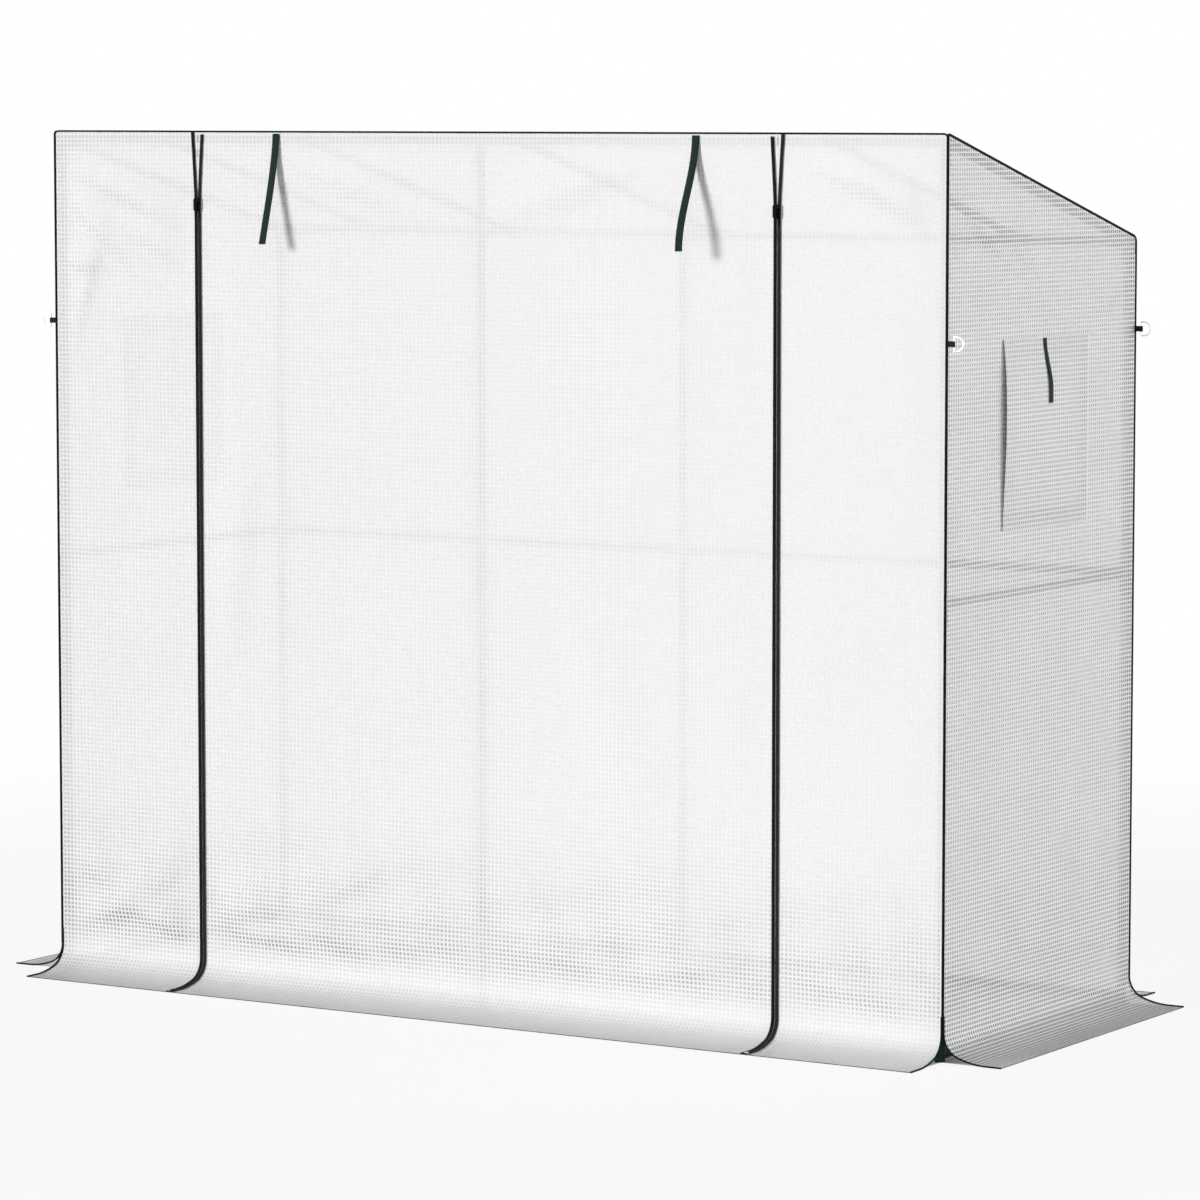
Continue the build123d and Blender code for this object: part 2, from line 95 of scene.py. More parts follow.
class Finish:
    # One node tree: a material's, or the world's.
    def __init__(self, owner):
        self.owner = owner
        owner.use_nodes = True
        self.tree = owner.node_tree
        self.tree.nodes.clear()

    def node(self, kind, settings=None, sockets=None, output=0):
        made = self.tree.nodes.new(kind)
        for key, value in (settings or {}).items():
            setattr(made, key, value)
        for key, value in (sockets or {}).items():
            if isinstance(value, Value):
                self.tree.links.new(value.socket, made.inputs[key])
            else:
                made.inputs[key].default_value = value
        return Value(self, made.outputs[output]) if made.outputs else None

    def mixColour(self, factor, first, second):
        return self.node("ShaderNodeMix", {"data_type": "RGBA"}, {0: factor, 6: first, 7: second}, 2)

    def mixShader(self, factor, first, second):
        return self.node("ShaderNodeMixShader", None, {0: factor, 1: first, 2: second})

    def parts(self, vector):
        return [self.node("ShaderNodeSeparateXYZ", None, {0: vector}, axis) for axis in range(3)]

    def clothPlace(self):
        return self.node("ShaderNodeUVMap", {"uv_map": "cloth"})

    def objectPlace(self):
        return self.node("ShaderNodeTexCoord", None, None, "Object")

    def noise(self, place, scale, detail=2.0):
        return self.node("ShaderNodeTexNoise", None, {"Vector": place, "Scale": scale, "Detail": detail})

    def bump(self, height, strength, distance):
        sockets = {"Height": height, "Strength": strength, "Distance": distance}
        return self.node("ShaderNodeBump", None, sockets)

    def surface(self, shader, output="ShaderNodeOutputMaterial"):
        self.node(output, None, {"Surface": shader})
        return self.owner


def colour(red, green, blue):
    return (red, green, blue, 1.0)


def newFinish(name):
    return Finish(bpy.data.materials.new(name))


filmLook = {
    "pitch": 0.0088,  # one thread every 8.8 mm both ways
    "threadWidth": 0.37,  # share of a cell that its thread covers
    "threadEdge": 0.09,
    "threadClear": 0.02,
    "cellGloss": 0.50, "threadGloss": 0.75,  # smooth film between matt woven threads
    "bright": colour(0.930, 0.935, 0.930),  # the cells with no painted shade
    "shaded": colour(0.22, 0.225, 0.22),  # and the cells under full painted shade
    "thread": colour(0.92, 0.92, 0.915),
    "scatter": colour(0.95, 0.955, 0.95),
}


def filmFinish(name, cellClear, glow):
    # White film over a grid of flat threads, the threads nearly solid and the cells between them clearer.
    # cellClear is what an open cell lets through unscattered, glow the share that the film scatters through.
    look = filmLook
    f = newFinish(name)
    along, down, _ = f.parts(f.clothPlace())
    wobble = f.noise(f.objectPlace(), 6.0)
    cloudy = f.noise(f.objectPlace(), 7.0, 3.0).step(0.35, 0.72)
    threads = None
    for run in (along, down):
        away = (run / look["pitch"]).toNearest()
        half = look["threadWidth"] / 2 + (wobble - 0.5) * 0.06
        band = (half - away).step(-look["threadEdge"] / 2, look["threadEdge"] / 2)
        threads = band if threads is None else threads.larger(band)
    cellShare = cellClear * (0.8 + 0.4 * cloudy)
    clear = cellShare + (look["threadClear"] - cellShare) * threads
    # painted shade: each cell darkens from the bright colour towards the shaded one by the piece's
    # painted-shade attribute
    paintedShade = f.node("ShaderNodeAttribute", {"attribute_name": "paintedShade"}, None, "Fac")
    cell = f.mixColour(paintedShade, look["bright"], look["shaded"])
    body = f.node("ShaderNodeBsdfPrincipled", None, {
        "Base Color": f.mixColour(threads, cell, look["thread"]),
        "Roughness": look["cellGloss"] + (look["threadGloss"] - look["cellGloss"]) * threads,
        "Specular IOR Level": 0.5,
        "Normal": f.bump(threads, 0.35, 0.0003),
    })
    through = f.node("ShaderNodeBsdfTranslucent", None, {"Color": look["scatter"]})
    cloth = f.mixShader(glow, body, through)
    return f.surface(f.mixShader(clear, cloth, f.node("ShaderNodeBsdfTransparent")))


def wovenFinish(name, base, light, pitch, roughness, ribs=0.0, glow=0.0):
    # Woven tape: crossing waves along and across the piece's own cloth map, with worn paler crowns
    f = newFinish(name)
    along, down, _ = f.parts(f.clothPlace())
    turns = 2 * math.pi / pitch
    weave = (along * turns).wave() * (down * turns).wave()
    dust = f.noise(f.objectPlace(), 60.0, 4.0)
    crown = weave.step(0.1, 1.0) * 0.5 + (dust - 0.4) * 0.5
    height = weave if not ribs else weave + 2.0 * (down * (2 * math.pi / ribs)).wave()
    body = f.node("ShaderNodeBsdfPrincipled", None, {
        "Base Color": f.mixColour(crown.step(0.0, 1.0), colour(*base), colour(*light)),
        "Roughness": roughness + 0.2 * (dust - 0.5),
        "Specular IOR Level": 0.12,
        "Normal": f.bump(height, 0.6, 0.0003),
    })
    if glow:
        through = f.node("ShaderNodeBsdfTranslucent", None, {"Color": colour(*light)})
        body = f.mixShader(glow, body, through)
    return f.surface(body)


def paintFinish(name, base, light, roughness, grain, relief, metallic, shine):
    # Coated or moulded surface: a fine orange-peel relief and slow changes of tone and gloss
    f = newFinish(name)
    fine = f.noise(f.objectPlace(), grain, 3.0)
    slow = f.noise(f.objectPlace(), 9.0, 4.0)
    body = f.node("ShaderNodeBsdfPrincipled", None, {
        "Base Color": f.mixColour(slow.step(0.35, 0.75), colour(*base), colour(*light)),
        "Roughness": roughness + 0.25 * (slow - 0.5) + 0.1 * (fine - 0.5),
        "Metallic": metallic,
        "Specular IOR Level": shine,
        "Normal": f.bump(fine, relief, 0.0002),
    })
    return f.surface(body)


film = filmFinish("reinforcedFilm", 0.14, 0.07)
clearFilm = filmFinish("clearFilm", 0.30, 0.07)  # the right wall, where the frame shows through more
daylightFilm = filmFinish("daylightFilm", 0.19, 0.5)  # the roof and the far walls, which let the light in
flapFilm = filmFinish("flapFilm", 0.03, 0.03)  # doubled, so little shows through it
daylightFlap = filmFinish("daylightFlap", 0.03, 0.5)  # on the left wall

tapes = {
    # base and lighter colour, pitch, roughness, then ribs and glow where it has them
    "pipingBlack": ((0.004, 0.004, 0.004), (0.012, 0.012, 0.012), 0.0012, 0.7),
    "hemGrey": ((0.05, 0.05, 0.05), (0.10, 0.10, 0.10), 0.0010, 0.7),
    "zipBlack": ((0.003, 0.004, 0.004), (0.009, 0.010, 0.010), 0.0011, 0.6, 0.0022),
    # painted light: the lighter grey for the right-hand strip of each zip
    "zipLitGrey": ((0.016, 0.017, 0.017), (0.036, 0.038, 0.037), 0.0011, 0.6, 0.0022),
    "tapeGreen": ((0.013, 0.029, 0.022), (0.024, 0.048, 0.037), 0.0013, 0.7),
    "tabGreen": ((0.008, 0.020, 0.015), (0.020, 0.040, 0.032), 0.0013, 0.7),
    "loopWhite": ((0.84, 0.84, 0.83), (0.92, 0.92, 0.91), 0.0016, 0.85, 0.0, 0.5),
    "facingWhite": ((0.78, 0.78, 0.77), (0.86, 0.86, 0.85), 0.0016, 0.85),
    "netWhite": ((0.84, 0.85, 0.84), (0.92, 0.92, 0.91), 0.0020, 0.7, 0.0, 0.5),
}
coats = {
    # base and lighter colour, roughness, grain, relief, metallic, shine
    "tubeGreen": ((0.005, 0.032, 0.022), (0.009, 0.045, 0.032), 0.4, 900.0, 0.25, 0.0, 0.25),
    "socketGreen": ((0.004, 0.026, 0.018), (0.008, 0.036, 0.026), 0.5, 1400.0, 0.4, 0.0, 0.2),
    "ringWhite": ((0.93, 0.935, 0.93), (0.97, 0.97, 0.965), 0.28, 700.0, 0.15, 0.85, 0.5),
    "sliderBlack": ((0.003, 0.003, 0.003), (0.008, 0.008, 0.008), 0.65, 1600.0, 0.3, 0.0, 0.05),
    "stopPale": ((0.62, 0.63, 0.62), (0.75, 0.76, 0.75), 0.34, 1500.0, 0.3, 0.3, 0.5),
}
finishes = {name: wovenFinish(name, *look) for name, look in tapes.items()}
finishes |= {name: paintFinish(name, *look) for name, look in coats.items()}
print("finishes ready")


# Mesh helpers

def linked(name, data):
    made = bpy.data.objects.new(name, data)
    bpy.context.scene.collection.objects.link(made)
    return made


def stacked(*parts):
    return np.stack(np.broadcast_arrays(*parts), -1)


def addPiece(name, points, faces, cloth, finish, paintedShade=None):
    mesh = bpy.data.meshes.new(name)
    mesh.from_pydata(points.tolist(), [], faces)
    mesh.polygons.foreach_set("use_smooth", np.ones(len(mesh.polygons), bool))
    corners = np.zeros(len(mesh.loops), np.int32)
    mesh.loops.foreach_get("vertex_index", corners)
    layer = mesh.uv_layers.new(name="cloth")
    layer.data.foreach_set("uv", cloth[corners].astype(np.float32).ravel())
    # the painted shade of the film's cells, one value a point, read by its finish
    if paintedShade is not None:
        shade = mesh.attributes.new("paintedShade", "FLOAT", "POINT")
        shade.data.foreach_set("value", paintedShade.astype(np.float32))
    mesh.materials.append(finish)
    mesh.update()
    return linked(name, mesh)


def gridFaces(rows, columns, keep=None):
    # Quads of a grid of points, row by row; keep drops the quads of a cut-out
    index = np.arange(rows * columns).reshape(rows, columns)
    quads = np.stack([index[:-1, :-1], index[1:, :-1], index[1:, 1:], index[:-1, 1:]], -1)
    return quads.reshape(-1, 4) if keep is None else quads[keep]


def sheetPiece(name, points, cloth, outward, finish, keep=None, paintedShade=0.0):
    # A grid of points as one sheet whose faces look outward; unused points are dropped
    quads = gridFaces(*points.shape[:2], keep)
    used, quads = np.unique(quads, return_inverse=True)
    quads = quads.reshape(-1, 4)
    flat = points.reshape(-1, 3)[used]
    first, second, third = flat[quads[:, 0]], flat[quads[:, 1]], flat[quads[:, 2]]
    facing = np.cross(second - first, third - first).sum(0) @ np.array(outward)
    quads = quads if facing > 0 else quads[:, ::-1]
    shade = np.broadcast_to(paintedShade, points.shape[:2]).ravel()[used]
    return addPiece(name, flat, quads.tolist(), cloth.reshape(-1, 2)[used], finish, shade)


def tangents(path):
    run = np.gradient(path, axis=0)
    return run / np.linalg.norm(run, axis=1, keepdims=True)


def lengths(path):
    steps = np.linalg.norm(np.diff(path, axis=0), axis=1)
    return np.concatenate([[0.0], np.cumsum(steps)])


def sweepSet(name, sweeps, finish):
    # Each sweep carries a closed profile (across, up) along a path; across is fixed, up is square to both
    points, cloth, faces, start = [], [], [], 0
    for path, across, profile in sweeps:
        path = np.asarray(path, float)
        side = np.broadcast_to(np.asarray(across, float), path.shape)
        up = np.cross(side, tangents(path))
        around = len(profile)
        ring = side[:, None] * profile[None, :, :1] + up[:, None] * profile[None, :, 1:]
        body = (path[:, None] + ring).reshape(-1, 3)
        girth = np.linspace(0, lengths(np.vstack([profile, profile[:1]]))[-1], around)
        run = np.repeat(lengths(path), around)
        index = np.arange(len(path) * around).reshape(len(path), around)
        index = np.hstack([index, index[:, :1]]) + start
        quads = np.stack([index[:-1, :-1], index[:-1, 1:], index[1:, 1:], index[1:, :-1]], -1)
        faces += quads.reshape(-1, 4).tolist()
        faces += [index[0, -2::-1].tolist(), index[-1, :-1].tolist()]
        points.append(body)
        cloth.append(np.column_stack([np.tile(girth, len(path)), run]))
        start += len(body)
    piece = addPiece(name, np.vstack(points), faces, np.vstack(cloth), finish)
    turnOut(piece)
    return piece


def turnOut(piece):
    work = bmesh.new()
    work.from_mesh(piece.data)
    bmesh.ops.recalc_face_normals(work, faces=work.faces)
    work.to_mesh(piece.data)
    work.free()


def ovalProfile(width, height, sides=12):
    # Points of an ellipse, counted round once
    turn = np.linspace(0, 2 * math.pi, sides, endpoint=False)
    return np.column_stack([np.cos(turn) * width / 2, np.sin(turn) * height / 2])


def slabProfile(width, height, sides=24, square=6.0):
    # A superellipse: a flat tape with softly rounded edges
    turn = np.linspace(0, 2 * math.pi, sides, endpoint=False)
    reach = np.abs(np.cos(turn)) ** square + np.abs(np.sin(turn)) ** square
    reach = reach ** (-1 / square)
    return np.column_stack([np.cos(turn) * reach * width / 2, np.sin(turn) * reach * height / 2])


def thicken(piece, thickness):
    thick = piece.modifiers.new("thickness", "SOLIDIFY")
    thick.thickness = thickness
    thick.offset = 0


def smooth(x, low, high):
    t = np.clip((x - low) / (high - low), 0, 1)
    return t * t * (3 - 2 * t)


def onBody(piece, body, slot, *stoodFor):
    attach(piece, body)
    if stoodFor:
        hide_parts(*stoodFor)
    return piece


# The cover's places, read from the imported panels

doorLow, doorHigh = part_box("door_panel")
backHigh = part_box("back_panel")[1]
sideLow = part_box("right_side_panel")[0]
cover = {
    "sheet": 0.001,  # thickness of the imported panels
    "bendRadius": 0.044,  # the skirt's tight bend out of the wall
    "bendAngle": math.radians(70),
    "toeRadius": 0.170,  # its long easing toe
    "pipingRadius": 0.002,
    "pipingInset": 0.001,  # piping centre behind the outer faces
    "seamGap": 0.0003,
    "bindingInset": 0.0024,  # middle of the skirt's edge binding, in from the corner
    "frontRound": 0.005,  # gable corners, where the roof's edge turns into the uprights
    "backRound": 0.014,  # the film rounds over the back rail along its whole length
}
halfDepth = cover["sheet"] - doorHigh.y
halfWidth = cover["sheet"] + sideLow.x
skirtReach = -doorLow.y - halfDepth
hemLift = doorLow.z
pipingX = halfWidth - cover["pipingInset"]
pipingY = halfDepth - cover["pipingInset"]
seamRise = cover["pipingRadius"] + cover["seamGap"]
frontSeam = doorHigh.z + seamRise
backSeam = backHigh.z + seamRise
roofAngle = math.atan2(frontSeam - backSeam, 2 * pipingY)
bendTurn, toeTurn = cover["bendAngle"], math.pi / 2 - cover["bendAngle"]
skirtDrop = cover["bendRadius"] * math.sin(bendTurn) + cover["toeRadius"] * (1 - math.sin(bendTurn))
skirtTop = hemLift + cover["sheet"] + skirtDrop

walls = {
    "front": {"out": (0, -1, 0), "along": (1, 0, 0), "face": halfDepth},
    "back": {"out": (0, 1, 0), "along": (1, 0, 0), "face": halfDepth},
    "left": {"out": (-1, 0, 0), "along": (0, 1, 0), "face": halfWidth},
    "right": {"out": (1, 0, 0), "along": (0, 1, 0), "face": halfWidth},
}
sides = {"left": -1, "right": 1}


def wallProfile(level, offset):
    # Level is height on the wall and, below skirtTop, the same length measured round the skirt.
    # A straight wall, an arc out of it, a wider arc onto the ground, then flat. Gives out, height, turn.
    near, far = cover["bendRadius"] - offset, cover["toeRadius"] - offset
    past = np.maximum(skirtTop - level, 0)
    bend = np.minimum(past / near, bendTurn)
    toe = np.clip((past - near * bendTurn) / far, 0, toeTurn)
    rest = np.maximum(past - near * bendTurn - far * toeTurn, 0)
    turn = bend + toe
    out = near * (1 - np.cos(bend)) + far * (math.cos(bendTurn) - np.cos(bendTurn + toe)) + rest
    height = np.maximum(level, skirtTop) - near * np.sin(bend)
    height = height - far * (np.sin(bendTurn + toe) - math.sin(bendTurn))
    return out + offset, height, turn


crownTurn = math.pi / 4 - roofAngle / 2  # half the turn from the back wall into the roof
crownStart = backSeam - cover["backRound"] * math.tan(crownTurn)
crownTop = crownStart + cover["backRound"] * math.sin(crownTurn)
crownIn = cover["backRound"] * (1 - math.cos(crownTurn))


def crownLean(level):
    # How far the back wall leans in where it rounds over: a circle from crownStart upwards
    rise = np.clip(level - crownStart, 0, cover["backRound"])
    return cover["backRound"] - np.sqrt(cover["backRound"] ** 2 - rise ** 2)


def wallPoints(wall, along, level, offset=0.0, lift=0.0):
    # Points on a wall and its skirt; lift stands them off along the surface's own normal
    place = walls[wall]
    along, level = np.broadcast_arrays(along, level)
    out, height, turn = wallProfile(level, offset)
    out = place["face"] + out + lift * np.cos(turn)
    if wall == "back":
        out = out - crownLean(level)
    height = height + lift * np.sin(turn)
    spots = along[..., None] * np.array(place["along"]) + out[..., None] * np.array(place["out"])
    return spots + height[..., None] * np.array((0, 0, 1))


def hemLevel(offset, reach):
    # The level at which the sheet's edge reaches that far out
    near, far = cover["bendRadius"] - offset, cover["toeRadius"] - offset
    curved = near * (1 - math.cos(bendTurn)) + far * math.cos(bendTurn) + offset
    return skirtTop - near * bendTurn - far * toeTurn - (reach - curved)


filmOffset = -cover["sheet"] / 2
hemEnd = hemLevel(filmOffset, skirtReach)


def levelRows(top, wallStep, skirtStep):
    wallRows = np.linspace(top, skirtTop, max(2, round((top - skirtTop) / wallStep)))
    if top == crownTop:
        crownRows = np.linspace(crownTop, crownStart, 7)[:-1]
        wallRows = np.concatenate([crownRows, wallRows[wallRows < crownStart]])
    skirtRows = np.linspace(skirtTop, hemEnd, max(2, round((skirtTop - hemEnd) / skirtStep)))
    return np.concatenate([wallRows, skirtRows[1:]])


upperReach = 2.4  # how much further a fold eases out upwards than downwards


def creases(along, level, folds):
    # Sum of soft ridges: a bell across each fold, longer on its upper side, fading as a wider bell along it
    height = np.zeros(np.broadcast(along, level).shape)
    for atAlong, atLevel, angle, length, width, rise in folds:
        run, climb = along - atAlong, level - atLevel
        turn = math.radians(angle)
        onward = run * math.cos(turn) + climb * math.sin(turn)
        beside = climb * math.cos(turn) - run * math.sin(turn)
        reach = np.where(beside > 0, width * upperReach, width)
        height = height + rise * np.exp(-(beside / reach) ** 2 - (onward / length) ** 2)
    return height


# Walls, door and roof

zipX = (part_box("front_right_panel")[0].x + doorHigh.x) / 2
frontFilm = {
    "wallStep": 0.009, "skirtStep": 0.004,
    "slack": 0.0011,  # how far the film stands off the tubes between its seams
    "quiet": 0.014, "ramp": 0.07,  # flat beside zips and seams, then easing in
    # painted shade of the cells: its level at the left and right ends, in a left margin, low on the wall,
    # under folds and on the skirt
    "shaded": {"left": 0.27, "right": 0.03, "margin": 0.10, "low": 0.32, "fold": 1.4, "skirt": 0.04},
    # along, level, angle, length, width, rise
    "folds": [
        (-0.83, 1.560, -22, 0.130, 0.020, 0.0050), (-0.90, 1.500, -40, 0.110, 0.018, 0.0045),
        (-0.76, 1.470, -30, 0.090, 0.022, 0.0036), (-0.955, 1.424, -8, 0.050, 0.014, 0.0060),
        (-0.93, 1.360, 70, 0.140, 0.018, 0.0036), (-0.86, 0.135, 16, 0.075, 0.020, 0.0075),
        (-0.90, 0.205, -34, 0.080, 0.020, 0.0050), (-0.745, 0.118, -12, 0.070, 0.018, 0.0080),
        (-0.76, 0.200, 22, 0.080, 0.024, 0.0050), (-0.54, 0.165, 10, 0.110, 0.024, 0.0070),
        (-0.50, 0.110, -6, 0.090, 0.016, 0.0065), (-0.36, 0.128, -16, 0.090, 0.022, 0.0065),
        (-0.33, 0.215, 26, 0.100, 0.026, 0.0045), (-0.14, 0.130, 6, 0.120, 0.024, 0.0050),
        (0.18, 0.126, -6, 0.140, 0.022, 0.0040), (0.43, 0.122, 9, 0.100, 0.020, 0.0045),
        (0.80, 0.120, -9, 0.100, 0.020, 0.0045), (0.88, 1.570, -34, 0.130, 0.018, 0.0045),
        (0.79, 1.600, -28, 0.100, 0.016, 0.0034), (-0.28, 1.575, -20, 0.150, 0.024, 0.0028),
        (0.22, 1.580, 18, 0.160, 0.026, 0.0024), (-0.56, 0.880, 82, 0.200, 0.034, 0.0026),
        (0.30, 0.520, -72, 0.260, 0.036, 0.0024),
    ],
}
sideFilm = {
    "wallStep": 0.009, "skirtStep": 0.004, "slack": 0.0009, "quiet": 0.012, "ramp": 0.06,
    "gableFoot": 0.04, "gableRows": 26,  # the gable's rows start this far below the back seam
    "post": 0.20, "postEdge": 0.012,  # painted shade on the film where it lies on the back post, and the width of its edge
    # painted shade of the cells: even along this wall and deeper than on the front, low on the wall, under
    # folds and on the skirt
    "shaded": {"left": 0.76, "right": 0.76, "margin": 0.0, "low": 0.22, "fold": 1.0, "skirt": 0.4},
    "folds": [
        (-0.24, 1.500, -30, 0.110, 0.016, 0.0040), (-0.10, 1.470, -24, 0.120, 0.018, 0.0030),
        (0.25, 1.360, 30, 0.090, 0.016, 0.0026), (-0.25, 0.150, 8, 0.100, 0.020, 0.0036),
        (0.02, 0.165, -6, 0.130, 0.022, 0.0040), (0.24, 0.140, 10, 0.090, 0.018, 0.0034),
        (0.10, 0.520, 76, 0.220, 0.030, 0.0022),
    ],
}
backFilm = {
    "wallStep": 0.010, "skirtStep": 0.004, "slack": 0.0011, "quiet": 0.012, "ramp": 0.07,
    # painted shade of the cells
    "shaded": {"left": 0.37, "right": 0.37, "margin": 0.0, "low": 0.16, "fold": 1.2, "skirt": 0.1},
    "folds": [
        (-0.82, 1.330, 30, 0.130, 0.018, 0.0040), (0.78, 1.350, -26, 0.120, 0.016, 0.0040),
        (0.20, 1.250, 14, 0.160, 0.024, 0.0024), (-0.60, 0.130, -8, 0.110, 0.020, 0.0036),
        (-0.15, 0.124, 7, 0.130, 0.022, 0.0034), (0.36, 0.134, -10, 0.120, 0.020, 0.0036),
        (0.80, 0.122, 8, 0.090, 0.018, 0.0034), (-0.40, 0.560, 78, 0.240, 0.032, 0.0022),
    ],
}


def slackOf(look, along, level, edgeDistance):
    # Slow swelling waves plus the folds, eased to nothing beside the seams
    sideways = np.sin(along * 9.0 + 1.3 * np.sin(level * 5.0))
    upright = np.sin(level * 7.0 + 0.8 * np.sin(along * 4.0))
    lift = look["slack"] * (1 + sideways * upright) / 2 + creases(along, level, look["folds"])
    return lift * smooth(edgeDistance, look["quiet"], look["quiet"] + look["ramp"])


def seamDistance(along, level, low, high, top):
    across = np.minimum(along - low, high - along)
    return np.minimum(across, np.minimum(top - level, (level - hemEnd) * 0.8))


# how the painted shade runs: its bend to the left, the left margin, the low band, the skirt's edge and the
# patches
paintedShadeRun = {"bend": 1.3, "margin": 0.05, "lowFrom": 0.42, "lowTo": 0.13, "skirtFade": 0.04, "patch": 0.35}


def paintedShadeOf(look, along, level, lift):
    # Painted shade of the film's cells: more towards the left end and in a margin there, low on the wall in
    # patches, on the under side of folds, where the film faces down, and on the skirt
    shaded = look["shaded"]
    leftward = ((1 - along / halfWidth) / 2) ** paintedShadeRun["bend"]
    margin = np.exp(-(along + halfWidth) / paintedShadeRun["margin"])
    fade = paintedShadeRun["skirtFade"]
    mottle = np.sin(along * 31 + 2 * np.sin(level * 13)) * np.sin(level * 37 + along * 17)
    patches = 1 + paintedShadeRun["patch"] * mottle
    low = smooth(level, paintedShadeRun["lowFrom"], paintedShadeRun["lowTo"]) * smooth(level, skirtTop, skirtTop + fade)
    skirt = smooth(level, skirtTop + fade / 2, skirtTop - fade / 2)
    under = np.maximum(np.gradient(lift, axis=0) / np.gradient(level, axis=0), 0)
    shade = shaded["right"] + (shaded["left"] - shaded["right"]) * leftward + shaded["margin"] * margin
    return np.clip(shade + shaded["low"] * low * patches + shaded["fold"] * under + shaded["skirt"] * skirt, 0, 1)


def wallSheet(name, wall, look, low, high, top, finish):
    along = np.linspace(low, high, max(2, round((high - low) / look["wallStep"])))[None, :]
    level = levelRows(top, look["wallStep"], look["skirtStep"])[:, None]
    along, level = np.broadcast_arrays(along, level)
    lift = slackOf(look, along, level, seamDistance(along, level, low, high, top))
    points = wallPoints(wall, along, level, filmOffset, lift)
    shade = paintedShadeOf(look, along, level, lift)
    return sheetPiece(name, points, stacked(along, level), walls[wall]["out"], finish, paintedShade=shade)


edgeX = halfWidth - cover["bindingInset"]
edgeY = halfDepth - cover["bindingInset"]
filmTop = doorHigh.z + cover["seamGap"]
zipEdge = 0.0006  # half the gap between a zip's two tapes
panelEdge, doorEdge = zipX + zipEdge, zipX - zipEdge
frontSheets = {
    "frontLeftFilm": ("front_left_panel", "greenhouse", -edgeX, -panelEdge, "front_left_post_upper"),
    "doorFilm": ("door_panel", "door", -doorEdge, doorEdge, "front_centre_post_upper"),
    "frontRightFilm": ("front_right_panel", "greenhouse", panelEdge, edgeX, "front_right_post_upper"),
}
for name, (node, body, low, high, post) in frontSheets.items():
    piece = wallSheet(name, "front", frontFilm, low, high, filmTop, film)
    onBody(piece, body, "cover_sheet", node)
    high - low
    filmTop - hemEnd

piece = wallSheet("backFilm", "back", backFilm, -edgeX, edgeX, crownTop, daylightFilm)
onBody(piece, "greenhouse", "cover_sheet", "back_panel")
backHigh.z - hemEnd
print("front, door and back films hung")

netLow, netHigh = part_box("window_nets")
window = {
    "border": 0.014,  # how far the net laps behind the cut-out's edge
    "step": 0.009,
}
holeY = (netLow.y + window["border"], netHigh.y - window["border"])
holeZ = (netLow.z + window["border"], netHigh.z - window["border"])
spanY, spanZ = holeY[1] - holeY[0], holeZ[1] - holeZ[0]
flapLow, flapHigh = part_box("right_window_flap")
flapWide, flapTall = flapHigh.y - flapLow.y, flapHigh.z - flapLow.z


def outsideHole(along, level):
    # Which quads of a grid of points lie clear of the cut-out
    middleY = (along[:-1, :-1] + along[1:, 1:]) / 2
    middleZ = (level[:-1, :-1] + level[1:, 1:]) / 2
    inside = (middleY > holeY[0]) & (middleY < holeY[1]) & (middleZ > holeZ[0]) & (middleZ < holeZ[1])
    return ~inside


def cutLines(start, end, cuts, step):
    # Evenly spaced lines that land on every cut
    stops = [start, *cuts, end]
    runs = [np.linspace(a, b, max(2, 1 + round(abs(b - a) / step)))[:-1] for a, b in zip(stops, stops[1:])]
    return np.concatenate([*runs, [end]])


def cornered(stops, radii, steps):
    # Straight runs joined by tangent arcs
    stops = [np.asarray(p, float) for p in stops]
    path = [stops[0]]
    for before, corner, after, radius in zip(stops, stops[1:], stops[2:], radii):
        toBefore = (before - corner) / np.linalg.norm(before - corner)
        toAfter = (after - corner) / np.linalg.norm(after - corner)
        half = math.acos(np.clip(toBefore @ toAfter, -1, 1)) / 2
        middle = (toBefore + toAfter) / np.linalg.norm(toBefore + toAfter)
        centre = corner + middle * radius / math.sin(half)
        start = corner + toBefore * radius / math.tan(half) - centre
        end = corner + toAfter * radius / math.tan(half) - centre
        share = np.linspace(0, 1, steps)[:, None]
        arc = start * (1 - share) + end * share
        arc = arc / np.linalg.norm(arc, axis=1, keepdims=True) * radius
        path += list(centre + arc)
    return np.array([*path, stops[-1]])


def gablePath(x, foot):
    # Up the front corner, down the roof's edge and down the back corner, in one line
    stops = [(x, -pipingY, foot), (x, -pipingY, frontSeam), (x, pipingY, backSeam), (x, pipingY, foot)]
    return cornered(stops, (cover["frontRound"], cover["backRound"]), 12)


